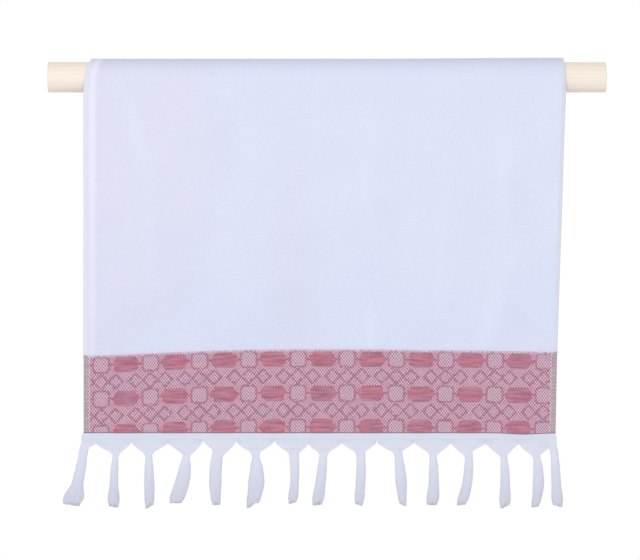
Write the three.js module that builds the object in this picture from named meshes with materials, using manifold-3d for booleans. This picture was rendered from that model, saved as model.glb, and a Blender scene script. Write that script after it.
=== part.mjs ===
// Guest towel folded over a round wooden rod.
// Millimetres. X runs along the rod, Y points away from the viewer, Z is up.
// The origin is on the rod's axis, halfway along the rod.

import * as THREE from "three";
import { mergeVertices } from "three/addons/utils/BufferGeometryUtils.js";
import Module from "manifold-3d";

// The rod: a turned dowel with slightly broken edges at its sawn ends.
const ROD_DIAMETER = 19;
const ROD_LENGTH = 350;
const ROD_CHAMFER = 0.8;
const ROD_SIDES = 40;

// The cloth: cotton terry with a thinner flat-woven border near each end.
const REST_GAP = 0.3;
const TERRY_THICKNESS = 1.9;
const BORDER_OUTER_DROP = 0.5;
const BORDER_INNER_DROP = 0.2;
const BORDER_EDGE = 1.2;
const BORDER_HEIGHT = 52;
const FRONT_DROP = 223;
const BACK_DROP = 177;
const NOMINAL_WIDTH = 300;

// Radius of the cloth's middle layer where it turns over the rod, and a quarter of that turn.
const TURN_RADIUS = ROD_DIAMETER / 2 + REST_GAP + TERRY_THICKNESS / 2;
const QUARTER_TURN = (Math.PI / 2) * TURN_RADIUS;
const FRONT_HEM = QUARTER_TURN + FRONT_DROP;
const BACK_HEM = QUARTER_TURN + BACK_DROP;

// The border's top edge is woven straight but droops a little towards the left side.
const BORDER_DROOP = 4.6;
const BORDER_DROOP_FROM = -40;
const BORDER_DROOP_LENGTH = 112;

// The left side hem: a soft ridge beside the edge. It starts on the front of the rod and
// fades towards the border.
const SIDE_HEM = { middle: 5, spread: 5, rise: 0.5, startsOver: 14, fadeFrom: 120, fadeTo: 215 };

// Side edges of the cloth. "along" is measured over the cloth from the top of the fold:
// positive down the front, negative down the back.
const EDGES = [
  { along: -BACK_HEM, left: -148, right: 141 },
  { along: -QUARTER_TURN, left: -147.5, right: 147.5 },
  { along: 0, left: -147, right: 148 },
  { along: 6, left: -149, right: 149.4 },
  { along: QUARTER_TURN, left: -151.8, right: 149.4 },
  { along: 43, left: -152, right: 149.4 },
  { along: 130, left: -152.5, right: 145.9 },
  { along: FRONT_HEM, left: -152.8, right: 142.4 },
];

// Soft folds. A fold's middle is at x at its top and has moved by lean at its bottom.
// top and bottom are depths below the rod's axis, width is its half width, and rise is
// how far it stands out from the hanging face (a trough where it is negative). A fold
// grows from nothing at both of its ends, and the end power says how slowly.
const FOLD_END_POWER = 1.2;
const FRONT_FOLDS = [
  { x: -124, lean: 14, top: 2, bottom: 96, width: 9, rise: 0.9 },
  { x: -58, lean: -6, top: 30, bottom: 190, width: 26, rise: -0.9 },
  { x: 20, lean: 9, top: 26, bottom: 178, width: 15, rise: 1.2 },
  { x: 50, lean: 4, top: 40, bottom: 165, width: 12, rise: -0.8 },
  { x: 72, lean: 8, top: 8, bottom: 150, width: 14, rise: 1.2 },
  { x: 117, lean: -16, top: 4, bottom: 172, width: 14, rise: 1.5 },
  { x: -109, lean: 0, top: 128, bottom: 214, width: 34, rise: -1.4 },
  { x: -20, lean: 0, top: 132, bottom: 214, width: 28, rise: -1.2 },
  { x: 126, lean: 2, top: 140, bottom: 214, width: 12, rise: -1.1 },
];
const BACK_FOLDS = [
  { x: -90, lean: 6, top: 10, bottom: 180, width: 26, rise: 1.3 },
  { x: -15, lean: -8, top: 20, bottom: 180, width: 30, rise: -1.1 },
  { x: 70, lean: 5, top: 10, bottom: 180, width: 24, rise: 1.4 },
];

// How the cloth is divided: columns by their distance from the left edge, and rows by
// zone, from the front hem up, over the rod and down to the back hem.
const LEFT_COLUMNS = [0, 2.5, 5, 7.5, 12];
const RIGHT_COLUMNS = [290, 297, 300];
const MIDDLE_COLUMNS = 20;
const ROW_ZONES = [5, 1, 16, 10, 10, 1, 4];

// The white header under each hem, from which the tassels hang on scalloped webs.
const HEADER_THICKNESS = 1.4;
const HEADER_GAP = 0.3;
const HEADER_DEPTH = 3.3;
const WEB_DEPTH = 13.5;
const WEB_CURVE = 1.3;
const NECK_HALF = 2.5;
const HEADER_STEP = 3;
const TASSEL_ROOT = 8;

// Front tassels from left to right. root, middle and tip are places along X; neck, belly
// and end are widths; length is from the hem to the tip; web is the depth below the hem
// of the top of the gap to the next tassel.
const FRONT_TASSELS = [
  { root: -150.8, middle: -155.2, tip: -160, neck: 5.3, belly: 8.6, end: 12.4, length: 45, web: 6.3 },
  { root: -132.2, middle: -133.3, tip: -133.4, neck: 4.4, belly: 5.7, end: 7.3, length: 46.2, web: 5 },
  { root: -111.7, middle: -111.3, tip: -111.3, neck: 5.3, belly: 7, end: 6.6, length: 46.9, web: 5 },
  { root: -88.3, middle: -90.6, tip: -95.4, neck: 4.2, belly: 9.9, end: 8.6, length: 43.8, web: 4.4 },
  { root: -67.6, middle: -70, tip: -69, neck: 7, belly: 7.9, end: 6, length: 45, web: 4.4 },
  { root: -45.4, middle: -44.3, tip: -47.2, neck: 6, belly: 10.2, end: 8.4, length: 45, web: 5 },
  { root: -21.4, middle: -20.4, tip: -21.8, neck: 4.8, belly: 5.7, end: 6, length: 43.8, web: 7.5 },
  { root: -2, middle: -4.2, tip: -6.4, neck: 5.1, belly: 6.6, end: 6.9, length: 45, web: 5 },
  { root: 20.4, middle: 20.9, tip: 19.8, neck: 4.8, belly: 5.5, end: 5.8, length: 45, web: 4.4 },
  { root: 43, middle: 46, tip: 47.4, neck: 5.3, belly: 7.3, end: 4.8, length: 45, web: 4.4 },
  { root: 65, middle: 66.6, tip: 65.9, neck: 4.5, belly: 5.9, end: 7.2, length: 45, web: 5 },
  { root: 87.6, middle: 87.8, tip: 84, neck: 4.7, belly: 6, end: 6.6, length: 45, web: 5 },
  { root: 109.4, middle: 111.3, tip: 110.8, neck: 4.7, belly: 5.8, end: 7.9, length: 46.9, web: 7.5 },
  { root: 130, middle: 132, tip: 129.4, neck: 4.7, belly: 7.2, end: 6, length: 46.9, web: 8.1 },
  { root: 141.4, middle: 143, tip: 143.7, neck: 5.4, belly: 6, end: 7.2, length: 46.2, web: 8.1 },
];

// Back tassels: evenly spaced, and alike but for a slight sway that changes from one to
// the next by a fixed phase, in radians.
const BACK_TASSEL_COUNT = 15;
const BACK_TASSEL_INSET = 3;
const BACK_MIDDLE_SWAY = 1.2;
const BACK_TIP_SWAY = 1.8;
const BACK_SWAY_PHASE = 2.4;
const BACK_TASSEL = { neck: 5, belly: 6.4, end: 6.4, length: 44, web: 5 };

// A tassel's locks: across and depth are shares of its half width, girth is a lock's own.
const FRONT_LOCKS = [
  { across: -0.69, depth: -0.1, girth: 0.4 },
  { across: 0, depth: -0.26, girth: 0.4 },
  { across: 0.69, depth: -0.1, girth: 0.4 },
  { across: 0.08, depth: 0.52, girth: 0.44 },
];
const BACK_LOCKS = [
  { across: -0.56, depth: 0, girth: 0.56 },
  { across: 0.56, depth: 0, girth: 0.56 },
];

// Stations down a tassel, as shares of its length. The locks are thick and drawn
// together at the root, where they fuse, and stand apart below the neck. neck, belly and
// end say how much of each width counts there.
const TASSEL_STATIONS = [
  { at: 0, gather: 0.7, thick: 1.5, neck: 1, belly: 0, end: 0 },
  { at: 0.2, gather: 0.8, thick: 1.4, neck: 1, belly: 0, end: 0 },
  { at: 0.36, gather: 1, thick: 1, neck: 0.4, belly: 0.6, end: 0 },
  { at: 0.62, gather: 1, thick: 1, neck: 0, belly: 1, end: 0 },
  { at: 0.88, gather: 1, thick: 1, neck: 0, belly: 0, end: 1 },
  { at: 1, gather: 0.9, thick: 1, neck: 0, belly: 0, end: 0.6 },
];

const COLORS = { wood: 0xf4e3cf, cloth: 0xdee3f6, fringe: 0xe2e6f2 };

const { lerp, clamp, smoothstep } = THREE.MathUtils;

// Reads a table whose rows are sorted by one column, with straight runs between them.
function readTable(table, key, place, column) {
  const after = table.findIndex((row) => row[key] >= place);
  if (after === 0) return table[0][column];
  if (after < 0) return table[table.length - 1][column];
  const a = table[after - 1];
  const b = table[after];
  return lerp(a[column], b[column], (place - a[key]) / (b[key] - a[key]));
}

function foldRise(folds, x, depth) {
  let rise = 0;
  for (const fold of folds) {
    const down = clamp((depth - fold.top) / (fold.bottom - fold.top), 0, 1);
    const middle = fold.x + fold.lean * down;
    const across = Math.exp(-(((x - middle) / fold.width) ** 2));
    rise += fold.rise * across * Math.sin(Math.PI * down) ** FOLD_END_POWER;
  }
  return rise;
}

// The border's top edge, as a distance along the cloth from the top of the fold.
function borderTop(hem, x) {
  const droop = smoothstep(BORDER_DROOP_FROM - x, 0, BORDER_DROOP_LENGTH);
  return hem - BORDER_HEIGHT + BORDER_DROOP * droop;
}

// A point of the draped cloth, standing "out" from its middle layer.
function onCloth(x, along, out) {
  const down = Math.abs(along) - QUARTER_TURN;
  const side = along >= 0 ? -1 : 1;
  if (down <= 0) {
    const angle = along / TURN_RADIUS;
    const radius = TURN_RADIUS + out;
    return new THREE.Vector3(x, -radius * Math.sin(angle), radius * Math.cos(angle));
  }
  const folds = along >= 0 ? FRONT_FOLDS : BACK_FOLDS;
  const reach = TURN_RADIUS + out + foldRise(folds, x, down);
  return new THREE.Vector3(x, side * reach, -down);
}

// How far the terry's or the border's face stands out from the middle layer.
function clothFace(x, along, fromLeft, outer) {
  const hem = along >= 0 ? FRONT_HEM : BACK_HEM;
  const top = borderTop(hem, x);
  const inBorder = clamp((Math.abs(along) - top + BORDER_EDGE) / BORDER_EDGE, 0, 1);
  if (!outer) return -(TERRY_THICKNESS / 2 - BORDER_INNER_DROP * inBorder);
  const ridge = Math.max(0, 1 - Math.abs(fromLeft - SIDE_HEM.middle) / SIDE_HEM.spread);
  const start = smoothstep(Math.abs(along), 0, SIDE_HEM.startsOver);
  const fade = 1 - smoothstep(Math.abs(along), SIDE_HEM.fadeFrom, SIDE_HEM.fadeTo);
  const rise = SIDE_HEM.rise * ridge * start * fade;
  return TERRY_THICKNESS / 2 - BORDER_OUTER_DROP * inBorder + rise;
}

function clothColumns() {
  const from = LEFT_COLUMNS[LEFT_COLUMNS.length - 1];
  const to = RIGHT_COLUMNS[0];
  const middle = [];
  for (let i = 1; i < MIDDLE_COLUMNS; i++) middle.push(lerp(from, to, i / MIDDLE_COLUMNS));
  return [...LEFT_COLUMNS, ...middle, ...RIGHT_COLUMNS];
}

// Where a row of the cloth lies at x: it is some way through one of the zones.
function rowAlong(row, x) {
  const frontBorder = borderTop(FRONT_HEM, x);
  const backBorder = borderTop(BACK_HEM, x);
  const ends = [
    FRONT_HEM,
    frontBorder,
    frontBorder - BORDER_EDGE,
    QUARTER_TURN,
    -QUARTER_TURN,
    -(backBorder - BORDER_EDGE),
    -backBorder,
    -BACK_HEM,
  ];
  let zone = 0;
  let left = row;
  while (zone < ROW_ZONES.length - 1 && left > ROW_ZONES[zone]) {
    left -= ROW_ZONES[zone];
    zone += 1;
  }
  return lerp(ends[zone], ends[zone + 1], left / ROW_ZONES[zone]);
}

// A flat divided sheet one unit thick, each of whose points is carried to its place.
// place(column, row, outer) gives the point, and the outer face is the sheet's +Z face.
function carriedSheet(columns, rows, place) {
  const sheet = new THREE.BoxGeometry(columns, rows, 1, columns, rows, 1);
  const points = sheet.getAttribute("position");
  for (let i = 0; i < points.count; i++) {
    const column = Math.round(points.getX(i) + columns / 2);
    const row = Math.round(points.getY(i) + rows / 2);
    const p = place(column, row, points.getZ(i) > 0);
    points.setXYZ(i, p.x, p.y, p.z);
  }
  return sheet;
}

function makeTowel() {
  const columns = clothColumns();
  const rows = ROW_ZONES.reduce((sum, steps) => sum + steps, 0);
  return carriedSheet(columns.length - 1, rows, (column, row, outer) => {
    const share = columns[column] / NOMINAL_WIDTH;
    // The border's droop needs x, and the edges need the place along the cloth.
    const nearX = lerp(EDGES[0].left, EDGES[0].right, share);
    const along = rowAlong(row, nearX);
    const left = readTable(EDGES, "along", along, "left");
    const right = readTable(EDGES, "along", along, "right");
    const x = lerp(left, right, share);
    const out = clothFace(nearX, along, columns[column], outer);
    return onCloth(x, along, out);
  });
}

function makeRod() {
  const r = ROD_DIAMETER / 2;
  const half = ROD_LENGTH / 2;
  const profile = [
    new THREE.Vector2(0, -half),
    new THREE.Vector2(r - ROD_CHAMFER, -half),
    new THREE.Vector2(r, -half + ROD_CHAMFER),
    new THREE.Vector2(r, half - ROD_CHAMFER),
    new THREE.Vector2(r - ROD_CHAMFER, half),
    new THREE.Vector2(0, half),
  ];
  return new THREE.LatheGeometry(profile, ROD_SIDES);
}

const wasm = await Module();
wasm.setup();

function toSolid(geometry) {
  const bare = geometry.clone();
  bare.deleteAttribute("normal");
  bare.deleteAttribute("uv");
  const merged = mergeVertices(bare, 1e-4);
  return new wasm.Manifold(
    new wasm.Mesh({
      numProp: 3,
      vertProperties: merged.getAttribute("position").array,
      triVerts: new Uint32Array(merged.index.array),
    }),
  );
}

function toGeometry(solid) {
  const mesh = solid.getMesh();
  return new THREE.BufferGeometry()
    .setAttribute("position", new THREE.BufferAttribute(mesh.vertProperties, 3))
    .setIndex(new THREE.BufferAttribute(mesh.triVerts, 1));
}

// Depth of the header's lower edge below the hem: deep at each tassel's neck, and
// shallow in the gaps between.
function webDepth(tassels, x) {
  const after = tassels.findIndex((tassel) => tassel.root >= x);
  if (after === 0 || after < 0) return WEB_DEPTH;
  const a = tassels[after - 1];
  const b = tassels[after];
  const halfGap = (b.root - a.root) / 2;
  const fromRoot = Math.min(x - a.root, b.root - x);
  const open = clamp((fromRoot - NECK_HALF) / (halfGap - NECK_HALF), 0, 1);
  return lerp(a.web, WEB_DEPTH, (1 - open) ** WEB_CURVE);
}

function makeHeader(tassels, hem, side) {
  const left = readTable(EDGES, "along", -side * hem, "left");
  const right = readTable(EDGES, "along", -side * hem, "right");
  const columns = Math.round((right - left) / HEADER_STEP);
  return carriedSheet(columns, 2, (column, row, outer) => {
    // Columns run backwards on the back, so that the outer face still looks outwards.
    const share = side < 0 ? column / columns : 1 - column / columns;
    const x = lerp(left, right, share);
    const deep = webDepth(tassels, x);
    const depth = [deep, HEADER_DEPTH, HEADER_GAP][row];
    const out = outer ? HEADER_THICKNESS / 2 : -HEADER_THICKNESS / 2;
    return onCloth(x, -side * (hem + depth), out);
  });
}

// The middle line of a tassel bends through its root, its middle and its tip.
function tasselX(tassel, t) {
  const a = 2 * (t - 0.5) * (t - 1);
  const b = 4 * t * (1 - t);
  const c = 2 * t * (t - 0.5);
  return a * tassel.root + b * tassel.middle + c * tassel.tip;
}

function makeLock(tassel, lock, hem, side) {
  const steps = TASSEL_STATIONS.length - 1;
  const shape = new THREE.CylinderGeometry(1, 1, steps, 4, steps, false, Math.PI / 4);
  const points = shape.getAttribute("position");
  for (let i = 0; i < points.count; i++) {
    const station = TASSEL_STATIONS[Math.round(steps / 2 - points.getY(i))];
    const width =
      station.neck * tassel.neck + station.belly * tassel.belly + station.end * tassel.end;
    const depth = lerp(TASSEL_ROOT, tassel.length, station.at);
    const base = onCloth(tasselX(tassel, station.at), -side * (hem + depth), 0);
    const girth = lock.girth * station.thick;
    const across = lock.across * station.gather + girth * points.getX(i);
    const inwards = -side * lock.depth * station.gather - girth * points.getZ(i);
    points.setXYZ(i, base.x + (width / 2) * across, base.y + (width / 2) * inwards, base.z);
  }
  return shape;
}

function makeFringe(tassels, locks, hem, side) {
  let solid = toSolid(makeHeader(tassels, hem, side));
  for (const tassel of tassels) {
    for (const lock of locks) {
      solid = solid.add(toSolid(makeLock(tassel, lock, hem, side)));
    }
  }
  return toGeometry(solid);
}

function backTassels() {
  const left = readTable(EDGES, "along", -BACK_HEM, "left") + BACK_TASSEL_INSET;
  const right = readTable(EDGES, "along", -BACK_HEM, "right") - BACK_TASSEL_INSET;
  const tassels = [];
  for (let i = 0; i < BACK_TASSEL_COUNT; i++) {
    const root = lerp(left, right, i / (BACK_TASSEL_COUNT - 1));
    const sway = Math.sin(BACK_SWAY_PHASE * i);
    const middle = root + BACK_MIDDLE_SWAY * sway;
    const tip = root + BACK_TIP_SWAY * sway;
    tassels.push({ ...BACK_TASSEL, root, middle, tip });
  }
  return tassels;
}

const part = new THREE.Group();

function addPiece(name, geometry, color, roughness) {
  const material = new THREE.MeshStandardMaterial({ color, roughness, metalness: 0 });
  const mesh = new THREE.Mesh(geometry, material);
  mesh.name = name;
  part.add(mesh);
  return mesh;
}

const rod = addPiece("rod", makeRod(), COLORS.wood, 0.6);
rod.rotation.z = -Math.PI / 2;
addPiece("towel", makeTowel(), COLORS.cloth, 0.95);

const frontFringe = makeFringe(FRONT_TASSELS, FRONT_LOCKS, FRONT_HEM, -1);
addPiece("fringe_front", frontFringe, COLORS.fringe, 0.95);
const backFringe = makeFringe(backTassels(), BACK_LOCKS, BACK_HEM, 1);
addPiece("fringe_back", backFringe, COLORS.fringe, 0.95);

export default part;
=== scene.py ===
# Guest towel folded over a round wooden rod: the finished look of each piece.
# Sizes are real ones in millimetres, and MM turns them into Blender's metres.
# X runs along the rod, Y points away from the viewer and Z is up. The origin is on the rod's axis.
# "along" is a distance over the cloth from the top of the fold, positive down the front and
# negative down the back. "depth" is a distance below a hem.

import math

import bpy
import numpy as np
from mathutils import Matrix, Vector


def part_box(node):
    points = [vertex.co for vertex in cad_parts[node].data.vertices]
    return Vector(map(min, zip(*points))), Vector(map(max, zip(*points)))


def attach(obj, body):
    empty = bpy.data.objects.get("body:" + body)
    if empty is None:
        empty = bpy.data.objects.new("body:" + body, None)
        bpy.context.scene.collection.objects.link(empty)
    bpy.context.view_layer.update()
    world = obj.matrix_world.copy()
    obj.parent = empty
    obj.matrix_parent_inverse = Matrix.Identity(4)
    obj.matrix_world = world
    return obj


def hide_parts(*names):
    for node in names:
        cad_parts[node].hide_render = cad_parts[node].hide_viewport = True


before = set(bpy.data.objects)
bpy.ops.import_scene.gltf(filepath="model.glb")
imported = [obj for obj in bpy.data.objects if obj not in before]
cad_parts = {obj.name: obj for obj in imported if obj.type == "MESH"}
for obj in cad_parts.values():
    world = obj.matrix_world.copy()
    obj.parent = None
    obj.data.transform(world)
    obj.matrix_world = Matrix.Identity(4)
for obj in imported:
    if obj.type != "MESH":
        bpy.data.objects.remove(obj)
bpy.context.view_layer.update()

MM = 0.001


def table(columns, *rows):
    """A short table: each row becomes a dictionary of the named columns."""
    return [dict(zip(columns.split(), row)) for row in rows]


# The rod and the hems are where the solids have them. There the header starts HEADER_GAP below
# its hem.
ROD_LOW, ROD_HIGH = (Vector(corner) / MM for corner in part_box("rod"))
ROD_LENGTH = ROD_HIGH.x - ROD_LOW.x
ROD_RADIUS = (ROD_HIGH.z - ROD_LOW.z) / 2
ROD_EDGE = 0.8
ROD_SIDES = 96
HEADER_GAP = 0.3
FRONT_DROP = -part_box("towel")[0][2] / MM
BACK_DROP = -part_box("fringe_back")[1][2] / MM - HEADER_GAP

# The cloth: cotton terry with a flat-woven border near each end. Its middle layer turns over
# the rod at TURN_RADIUS.
REST_GAP = 0.3
TERRY_THICKNESS = 1.9
TERRY_ROUNDING = 0.5
BORDER_THICKNESS = 1.2
BORDER_ROUNDING = 0.35
TURN_RADIUS = ROD_RADIUS + REST_GAP + TERRY_THICKNESS / 2
QUARTER_TURN = math.pi / 2 * TURN_RADIUS
FRONT_HEM = QUARTER_TURN + FRONT_DROP
BACK_HEM = QUARTER_TURN + BACK_DROP
CLOTH_WIDTH = 300
BORDER_HEIGHT = 52.3
BORDER_TUCK = 1.0

# The border is woven straight, but it hangs a little lower towards its sides.
BORDER_DROOPS = table(
    "x     droop",
    (-150, 4.3),
    (-126, 3.4),
    (-95,  2.0),
    (-65,  0.8),
    (-34,  0.1),
    (40,   0),
    (62,   0.6),
    (95,   0.7),
    (146,  1.7),
)

# Near its right end the front border's lower edge dips over the header.
DIP_MIDDLE = 281
DIP_WIDTH = 13
DIP = 0.8

# The cloth's side edges, from the back hem over the rod to the front hem, and the header's.
EDGES = table(
    "along          left    right",
    (-BACK_HEM,       -148,   141),
    (-QUARTER_TURN,   -147.5, 147.5),
    (0,               -147.4, 148),
    (6,               -149,   148.5),
    (QUARTER_TURN,    -151.8, 149.3),
    (29,              -152.4, 149.4),
    (45,              -152.45, 148.7),
    (75,              -152.45, 147.7),
    (105,             -152.3, 146.75),
    (157,             -152.5, 145),
    (FRONT_HEM - 50,  -152.55, 144),
    (FRONT_HEM - 46,  -152.2, 143.8),
    (FRONT_HEM,       -152.2, 142.9),
    (FRONT_HEM + 0.1, -153.1, 143),
)

# The selvedge has no loops and lies lower than the pile, which slopes down to it between two
# places from the left side. On the left the pile beside it stands up in a soft ridge, which
# starts on the front of the rod and fades towards the border.
SELVEDGE = 2.6
SELVEDGE_SUNK = 0.4
LEFT_SLOPE = (1.8, 3.8)
RIGHT_SLOPE = (297.4, 299.5)
RIDGE_MIDDLE = 5.6
RIDGE_RISE = 0.5
RIDGE_STEEP_SIDE = 1.8
RIDGE_GENTLE_SIDE = 3.8
RIDGE_STARTS_OVER = 14
RIDGE_FADE_FROM = 110
RIDGE_FADE_TO = 240

# Towards its right end the fold lies a little looser on the rod.
LOOSE_FROM = 175
LOOSE_RISE = 0.6
LOOSE_OVER = 14

# Soft folds. A fold's middle is at x at its top and has moved by lean at its bottom. top and
# bottom are distances below the rod's axis, width is its half width, and rise is how far it
# stands out from the hanging face (a trough where it is negative).
FOLD_END_POWER = 1.2
FRONT_FOLDS = table(
    "x     lean  top  bottom  width  rise",
    (-124, 14,   2,   96,     9,     0.9),
    (-58,  -6,   30,  190,    26,    -0.9),
    (20,   9,    26,  178,    15,    1.2),
    (50,   4,    40,  165,    12,    -0.8),
    (72,   8,    8,   150,    14,    1.2),
    (117,  -16,  4,   172,    14,    1.5),
    (-109, 0,    128, 214,    34,    -1.4),
    (-20,  0,    132, 214,    28,    -1.2),
    (126,  2,    140, 214,    12,    -1.1),
)
BACK_FOLDS = table(
    "x    lean  top  bottom  width  rise",
    (-90, 6,    10,  180,    26,    1.3),
    (-15, -8,   20,  180,    30,    -1.1),
    (70,  5,    10,  180,    24,    1.4),
)

# Fine creases that lie on the soft folds.
FRONT_CREASES = table(
    "x      lean  top  bottom  width  rise",
    (-127,  17,   0,   74,     3.2,   0.32),
    (-111,  1,    50,  150,    4.0,   0.2),
    (24,    4,    40,  120,    5.0,   0.2),
    (27.5,  0,    134, 182,    2.8,   0.3),
    (54,    -2,   14,  70,     4.5,   0.14),
    (75,    -6,   40,  160,    4.5,   0.22),
    (108,   4,    14,  130,    4.6,   0.24),
    (116,   -24,  100, 186,    5.5,   0.32),
)
BACK_CREASES = table(
    "x    lean  top  bottom  width  rise",
    (-84, 8,    20,  120,    4.0,   0.3),
    (12,  6,    60,  170,    3.4,   -0.2),
    (66,  -4,   30,  150,    4.0,   0.3),
)

# The jacquard's repeat: rows of solid hexagons with dotted rosettes between them, and crossed
# lines between the rows. A hexagon slopes up between two shares of the way out from its middle.
# LINE_LEVEL is how near a half step of the lattice a line starts.
MOTIF_ACROSS = 31.2
MOTIF_DOWN = 21.3
FIRST_MOTIF_ACROSS = 26.5
FIRST_MOTIF_DOWN = 5.6
HEXAGON_HALF_HEIGHT = 4.9
HEXAGON_HALF_WIDTH = 8.2
HEXAGON_CORNER_CUT = 2.8
HEXAGON_RISE = 0.22
HEXAGON_SLOPE = (0.7, 1.05)
FLAT_BESIDE_EDGE = 8
LINK_HALF_HEIGHT = 0.6
ROSETTE_FILL = 4.8
ROSETTE_RING = 6
ROSETTE_SQUARENESS = 0.5
LATTICE_BEGINS = 5.9
LATTICE_FROM = 6.4
LATTICE_ACROSS = 9.2
LATTICE_DOWN = 8.9
LINE_LEVEL = 0.41
TRIANGLE_LEVEL = -0.6

# The header under each hem, and the fans of yarn that gather into the tassels' necks.
HEADER_THICKNESS = 0.8
HEADER_ROUNDING = 0.3
HEADER_TUCK = 0.6
HEADER_DEPTH = 3.8
YARN_START = 1.6
TASSEL_ROOT = 8
FAN_CURVE = 1.05
FAN_OVERLAP = 0.6
GATHER_BEFORE = 4
GATHER_AFTER = 1

# Tassels from left to right. root, middle, tip and gap are places along X, where gap is the top
# of the gap before the next tassel and web is its depth; left_drawn and right_drawn are the
# depths at which that side of the fan has drawn in to the neck; neck, belly and end are widths;
# length is the depth of the tip; cut is how much deeper the left side of the tip reaches than
# the right.
TASSEL_COLUMNS = "root middle tip gap web left_drawn right_drawn neck belly end length cut"
FRONT_TASSELS = table(
    TASSEL_COLUMNS,
    (-151.8, -155,   -159.9, -144.2, 7,   9.4,  9.4,  5.6, 7.2,  12.4, 45,   -1.5),
    (-131.4, -133.2, -133.2, -122.4, 5.8, 13.2, 13.6, 3.8, 5.4,  7.4,  46.2, -1),
    (-111.6, -111.2, -111.2, -99.4,  6.2, 14,   12.6, 4.4, 6.4,  6.2,  46.2, 2.5),
    (-88,    -89.6,  -94.8,  -77.4,  5,   13,   15,   4.6, 9,    9.4,  43.8, 0),
    (-67.4,  -69.8,  -69,    -57,    5.2, 10.6, 14.5, 7,   7.6,  6.2,  45,   0),
    (-45.6,  -44,    -47,    -32.6,  5.4, 13,   12.6, 4.8, 9.8,  8.6,  45.4, 3.5),
    (-21.2,  -20.2,  -21.6,  -11.7,  6.9, 13.3, 13.2, 6,   5.4,  6.2,  43.8, 1),
    (-1.6,   -3.6,   -6.1,   9.3,    6,   13.4, 12.6, 5,   6.4,  7.2,  45,   0.5),
    (20.8,   21.2,   19.9,   31.1,   5.7, 12.8, 11.8, 5.6, 6,    6,    45,   -1),
    (44.2,   46,     47.6,   54.6,   6,   13,   11,   5.2, 7,    5.4,  45,   -1.5),
    (65.8,   66.8,   65.5,   77.3,   6,   12.6, 14.2, 4.6, 6.4,  7.8,  45,   0),
    (88.3,   88.2,   83.8,   99.4,   6.3, 15,   11,   5,   6.2,  6.8,  45,   0.5),
    (109.7,  111.4,  110.9,  119.7,  6.4, 15,   13.4, 4.4, 6,    7,    46.2, 2),
    (129.8,  132.2,  130,    138.6,  9,   15.4, 13.4, 4.6, 7,    5.8,  46.2, 0.5),
    (141.8,  143.2,  144.1,  142,    9,   10.4, 11,   5,   6,    7.2,  45.8, -1.5),
)

# Back tassels: evenly spaced, with a slight sway that changes by a fixed phase.
BACK_TASSEL_COUNT = 15
BACK_TASSEL_INSET = 3
BACK_MIDDLE_SWAY = 1.2
BACK_TIP_SWAY = 1.8
BACK_SWAY_PHASE = 2.4
BACK_TASSEL = {
    "web": 5.4, "left_drawn": 13.4, "right_drawn": 13.4, "neck": 5, "belly": 6.4, "end": 6.4,
    "length": 44, "cut": 0,
}

# Stations down a tassel, as shares of its length. neck, belly and end say how much of each
# width counts there.
TASSEL_STATIONS = table(
    "at    neck  belly  end",
    (0,    1,    0,     0),
    (0.2,  1,    0,     0),
    (0.36, 0.4,  0.6,   0),
    (0.62, 0,    1,     0),
    (0.88, 0,    0,     1),
    (1,    0,    0,     0.8),
)

# A tassel's yarns lie round a soft core of more yarn. They are soft spun, so they lie close
# and swell where the tassel is wider than SWELLS_ABOVE. The loose ones only show at the cut tip,
# scattered by the golden angle through the layers inside.
YARNS_ROUND = 40
LOOSE_YARNS = 12
LOOSE_LENGTH = 7
LOOSE_LAYERS = (0.25, 0.75)
GOLDEN_SHARE = 0.618
GOLDEN_ANGLE = 2.4
YARN_RADIUS = 0.33
YARN_SIDES = 5
YARN_STEPS = 18
YARN_UNEVEN = 0.06
SWELLS_ABOVE = 5.4
YARN_SWELLING = 0.8
YARN_TAPER = 0.4
YARN_TAPERS_FROM = 0.96
SLOPE_STEP = 0.01
YARN_CUT_SPREAD = 1.3

# A yarn winds a little on its way down. Its place in the turn differs within a tassel, and more
# from tassel to tassel (in radians).
YARN_WAVE = 0.16
YARN_WAVES_DOWN = 1.3
YARN_PHASES = 2
TASSEL_PHASES = 6

CORE_SIDES = 20
CORE_STEPS = 24
CORE_INSET = 0.3
CORE_SHORT = 2.2
BUNDLE_FLATNESS = 0.72
BUNDLE_THICKEST = 2.6
BUNDLE_TWIST = 1.2
TWIST_SHARES = (0.7, 1.3)
TWIST_FROM = 11
TWIST_TO = 26

# The sheets' grids, across and down. The terry's columns are closer beside its edges.
TERRY_GRID = (160, 196)
BORDER_GRID = (300, 53)
HEADER_GRID = (150, 4)
COLUMN_SHARES = (0, 0.1, 0.92, 1)
COLUMN_PLACES = (0, 14, 288, CLOTH_WIDTH)

# Corners sharper than an angle are rounded, and faces that meet below one are shaded as one.
CORNER_ANGLE = 50
CORNER_STEPS = 3
SMOOTH_BELOW = 60
YARN_SMOOTH_BELOW = 80


# The cloth's shape


def smoothstep(value, low, high):
    share = np.clip((value - low) / (high - low), 0, 1)
    return share * share * (3 - 2 * share)


def lerp(a, b, share):
    return a + (b - a) * share


def bell(value, middle, width):
    return np.exp(-(((value - middle) / width) ** 2))


def column(rows, name):
    return [row[name] for row in rows]


def edge(side, along):
    """The x of the cloth's left or right edge."""
    return np.interp(along, column(EDGES, "along"), column(EDGES, side))


def border_top(hem, x):
    """The border's top edge, as a distance over the cloth from the top of the fold."""
    droop = np.interp(x, column(BORDER_DROOPS, "x"), column(BORDER_DROOPS, "droop"))
    return hem - BORDER_HEIGHT + droop


def fold_rise(folds, x, down):
    """How far some folds make the cloth stand out, at distances down from the rod's axis."""
    rise = np.zeros_like(x)
    for fold in folds:
        share = np.clip((down - fold["top"]) / (fold["bottom"] - fold["top"]), 0, 1)
        middle = fold["x"] + fold["lean"] * share
        across = bell(x, middle, fold["width"])
        rise += fold["rise"] * across * np.sin(np.pi * share) ** FOLD_END_POWER
    return rise


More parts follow.
